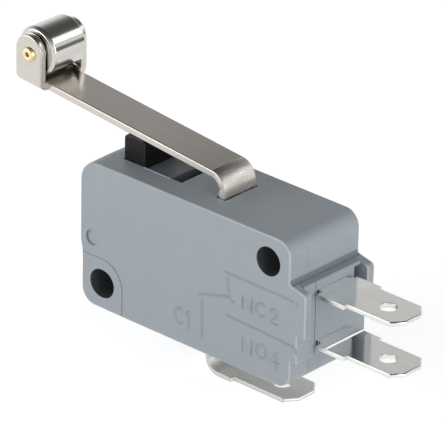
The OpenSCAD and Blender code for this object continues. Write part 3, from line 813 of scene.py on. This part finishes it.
# Strokes of each letter in a square of one by one, and the letters with their lower left corners and sizes
GLYPHS = {
    "N": [[(0, 0), (0, 1), (1, 0), (1, 1)]],
    "C": [arc((0.55, 0.5), (0.55, 0.5), 55, 305)],
    "O": [arc((0.5, 0.5), (0.5, 0.5), 90, 449)],
    "1": [[(0.1, 0.76), (0.5, 1)], [(0.5, 0.95), (0.5, 0)]],
    "2": [arc((0.5, 0.72), (0.45, 0.28), 170, -40) + [(0.05, 0), (1, 0)]],
    "4": [[(0.8, 0), (0.8, 1), (0, 0.3), (1, 0.3)]],
}
SIGNS = [
    ("N", (-3.2, -6.3), (1.2, 1.4)), ("C", (-1.4, -6.3), (1.15, 1.4)), ("2", (0.35, -6.5), (1.0, 1.5)),
    ("N", (-3.1, -10.95), (1.2, 1.5)), ("O", (-1.25, -10.9), (1.25, 1.5)), ("4", (0.5, -11.2), (1.1, 1.7)),
    ("C", (-12.2, -10.95), (1.1, 1.65)), ("1", (-10.7, -11.05), (0.8, 1.8))]
CIRCUIT = [
    [(-5.55, -3.14), (3.5, -3.22), (3.78, -3.55)],
    [(-5.2, -7.83), (3.65, -8.12), (3.98, -8.7)],
    [(-5.2, -3.85), (-4.82, -5.9), (-4.35, -6.15)],
    [(-9.05, -6.82), (-5.25, -5.75)],
    [(-8.6, -7.4), (-8.45, -11.35)]]
# Width and height of a stroke, its section as shares of them, and how small its ends are
STROKE_W = 0.4
STROKE_H = 0.07
SECTION = [(-0.5, -0.3), (-0.4, 0.5), (0, 1), (0.4, 0.5), (0.5, -0.3)]
STROKE_END = 0.25
# Materials of the strokes, in painted shade and painted light that make them look engraved, and how far a
# face leans up and to the left where it gets painted shade or painted light
SIGN_SET = ["housing_mark", "housing_step", "housing_light"]
PAINTED_SHADE_LEAN = 0.1
PAINTED_LIGHT_LEAN = -0.5


def add_stroke(shape, points):
    """Adds one raised stroke, drawn along points on the cover's face."""
    path = [Vector(point) for point in points]
    first = path[0] + (path[0] - path[1]).normalized() * STROKE_W / 2
    last = path[-1] + (path[-1] - path[-2]).normalized() * STROKE_W / 2
    stations = [(first, STROKE_END)] + [(point, 1.0) for point in path] + [(last, STROKE_END)]
    rows = []
    for index, (point, size) in enumerate(stations):
        back = stations[max(index - 1, 0)][0]
        ahead = stations[min(index + 1, len(stations) - 1)][0]
        along = (ahead - back).normalized()
        side = Vector((-along[1], along[0]))
        row = []
        for across, height in SECTION:
            spot = point + side * across * STROKE_W * size
            y = cover_face_y - height * STROKE_H * size * MM
            row.append(shape.verts.new((spot[0] * MM, y, spot[1] * MM)))
        rows.append(row)
    for row, after in zip(rows, rows[1:]):
        for index in range(len(SECTION) - 1):
            shape.faces.new((row[index], row[index + 1], after[index + 1], after[index]))
    shape.faces.new(rows[0])
    shape.faces.new(rows[-1])


def sign_finish(face):
    """The material of a stroke's face, painted shade where it leans up or left and painted light where it
    leans down and right.
    """
    lean = face.normal[2] - face.normal[0]
    if lean > PAINTED_SHADE_LEAN:
        return "housing_step"
    return "housing_light" if lean < PAINTED_LIGHT_LEAN else "housing_mark"


def add_signs():
    """All letters and circuit lines as one piece."""
    shape = bmesh.new()
    for letter, origin, size in SIGNS:
        for line in GLYPHS[letter]:
            add_stroke(shape, [(origin[0] + x * size[0], origin[1] + z * size[1]) for x, z in line])
    for line in CIRCUIT:
        add_stroke(shape, line)
    bmesh.ops.recalc_face_normals(shape, faces=shape.faces)
    for face in shape.faces:
        face.material_index = SIGN_SET.index(sign_finish(face))
    piece = add_piece("front_signs", to_mesh("front_signs", shape), "housing", SIGN_SET)
    smooth(piece, SIGN_ANGLE)


add_signs()

# Materials of the CAD's own nodes, the inner ones first
NODE_FINISH = {
    "nc_contact": "contact", "no_contact": "contact", "moving_contact": "contact",
    "contact_arm": "contact_arm", "actuating_arm": "actuating_arm", "snap_spring": "spring",
    "case": "housing", "cover": "housing", "plunger": "plunger", "lever": "lever", "roller": "roller",
    "roller_pin": "pin", "common_terminal": "terminal", "nc_terminal": "terminal", "no_terminal": "terminal"}
for node, key in NODE_FINISH.items():
    finishes = nodes[node].data.materials
    finishes.clear()
    finishes.append(MATERIALS[key])


# Floor, light and camera

# Half the floor's side, its colour, and the white that the camera and the metal see on top of the lit and
# shaded floor
FLOOR_HALF = 0.2
FLOOR_COLOUR = (0.9, 0.9, 0.9, 1)
FLOOR_GLOW = 0.6


def add_floor():
    """A white floor that keeps the part's shadow."""
    mesh = bpy.data.meshes.new("floor")
    corners = rectangle(-FLOOR_HALF, FLOOR_HALF, -FLOOR_HALF, FLOOR_HALF)
    mesh.from_pydata([(x, y, floor_z) for x, y in corners], [], [(0, 1, 2, 3)])
    floor = bpy.data.objects.new("floor", mesh)
    bpy.context.scene.collection.objects.link(floor)
    material = bpy.data.materials.new("floor_white")
    material.use_nodes = True
    tree = material.node_tree
    tree.nodes.clear()
    output = tree.nodes.new("ShaderNodeOutputMaterial")
    diffuse = tree.nodes.new("ShaderNodeBsdfDiffuse")
    diffuse.inputs["Color"].default_value = FLOOR_COLOUR
    white = tree.nodes.new("ShaderNodeEmission")
    path = tree.nodes.new("ShaderNodeLightPath").outputs
    seen = combine(tree, "MAXIMUM", path["Is Camera Ray"], path["Is Glossy Ray"])
    seen = combine(tree, "MAXIMUM", seen, path["Is Transmission Ray"])
    tree.links.new(spread(tree, seen, 0.0, FLOOR_GLOW, 0, 1), white.inputs["Strength"])
    both = tree.nodes.new("ShaderNodeAddShader")
    tree.links.new(diffuse.outputs[0], both.inputs[0])
    tree.links.new(white.outputs[0], both.inputs[1])
    tree.links.new(both.outputs[0], output.inputs["Surface"])
    mesh.materials.append(material)


# Level of the surrounding light by its height above the horizon, in degrees
SKY = [(-90, 1.0), (0, 1.0), (12, 1.0), (19, 0.78), (26, 0.62), (33, 0.38), (40, 0.2), (46, 0.11), (60, 0.07),
       (90, 0.07)]
# Direction of a dark card that the roller shows, the angles at which it ends and is full, and its level
CARD = Vector((0.743, 0.668, 0.035)).normalized()
CARD_EDGES = (9, 5)
CARD_LEVEL = 0.17


def add_sky():
    """Light from all round, with a dark card that the camera doesn't see."""
    world = bpy.data.worlds.new("studio")
    bpy.context.scene.world = world
    world.use_nodes = True
    tree = world.node_tree
    background = tree.nodes["Background"]
    direction = tree.nodes.new("ShaderNodeTexCoord").outputs["Generated"]
    axes = tree.nodes.new("ShaderNodeSeparateXYZ")
    tree.links.new(direction, axes.inputs["Vector"])
    height = spread(tree, axes.outputs["Z"], 0.0, 1.0, -1.0, 1.0)
    levels = [((math.sin(math.radians(angle)) + 1) / 2, level) for angle, level in SKY]
    tree.links.new(grey_ramp(tree, height, levels), background.inputs["Color"])
    facing = tree.nodes.new("ShaderNodeVectorMath")
    facing.operation = "DOT_PRODUCT"
    facing.inputs[1].default_value = CARD
    tree.links.new(direction, facing.inputs[0])
    edges = [math.cos(math.radians(angle)) for angle in CARD_EDGES]
    card = spread(tree, facing.outputs["Value"], 1.0, CARD_LEVEL, *edges)
    path = tree.nodes.new("ShaderNodeLightPath").outputs
    tree.links.new(combine(tree, "MAXIMUM", card, path["Is Camera Ray"]), background.inputs["Strength"])


# Lamps: the direction, the size, and the level on a surface that faces the lamp
LAMPS = {
    "left_light": ((-0.6, -0.75, 0.22), (0.5, 0.4), 0.5),
    "right_light": ((0.9, -0.1, 0.22), (0.4, 0.4), 0.395),
    "back_light": ((0.5, 0.67, 0.53), (0.3, 0.18), 0.068)}
LAMP_DISTANCE = 0.6


def add_lamp(name, direction, size, level):
    """A soft rectangular lamp that shines on the part's origin."""
    lamp = bpy.data.lights.new(name, "AREA")
    lamp.shape = "RECTANGLE"
    lamp.size = size[0]
    lamp.size_y = size[1]
    lamp.energy = level * (math.pi * LAMP_DISTANCE) ** 2
    holder = bpy.data.objects.new(name, lamp)
    bpy.context.scene.collection.objects.link(holder)
    towards = Vector(direction).normalized()
    holder.location = towards * LAMP_DISTANCE
    holder.rotation_euler = towards.to_track_quat("Z", "Y").to_euler()


# The photograph's camera: its turn, rise and roll in degrees about a point of the part, its distance, its
# shift to the right and up, and its focal length and the picture's width in pixels
CAMERA_TURN = 41.966
CAMERA_RISE = 26.023
CAMERA_ROLL = 1.1887
CAMERA_TARGET = Vector((-11.1, 0, -5.15)) * MM
CAMERA_REACH = 450 * MM
CAMERA_SHIFT = (0.3542 * MM, 4.4649 * MM)
FOCAL_PX = 4511.667
PICTURE_PX = 444
SENSOR = 36.0


def add_camera():
    """The photograph's camera."""
    turn, rise, roll = [math.radians(angle) for angle in (CAMERA_TURN, CAMERA_RISE, CAMERA_ROLL)]
    back = Vector((math.sin(turn) * math.cos(rise), -math.cos(turn) * math.cos(rise), math.sin(rise)))
    level = Vector((math.cos(turn), math.sin(turn), 0))
    upright = back.cross(level)
    right = level * math.cos(roll) + upright * math.sin(roll)
    up = upright * math.cos(roll) - level * math.sin(roll)
    data = bpy.data.cameras.new("camera")
    data.sensor_fit = "HORIZONTAL"
    data.sensor_width = SENSOR
    data.lens = SENSOR * FOCAL_PX / PICTURE_PX
    data.clip_start = 0.01
    camera = bpy.data.objects.new("camera", data)
    bpy.context.scene.collection.objects.link(camera)
    pose = Matrix((right, up, back)).transposed().to_4x4()
    pose.translation = CAMERA_TARGET + back * CAMERA_REACH + right * CAMERA_SHIFT[0] + up * CAMERA_SHIFT[1]
    camera.matrix_world = pose
    bpy.context.scene.camera = camera


add_floor()
add_sky()
for name, settings in LAMPS.items():
    add_lamp(name, *settings)
add_camera()
bpy.context.scene.view_settings.view_transform = "Standard"
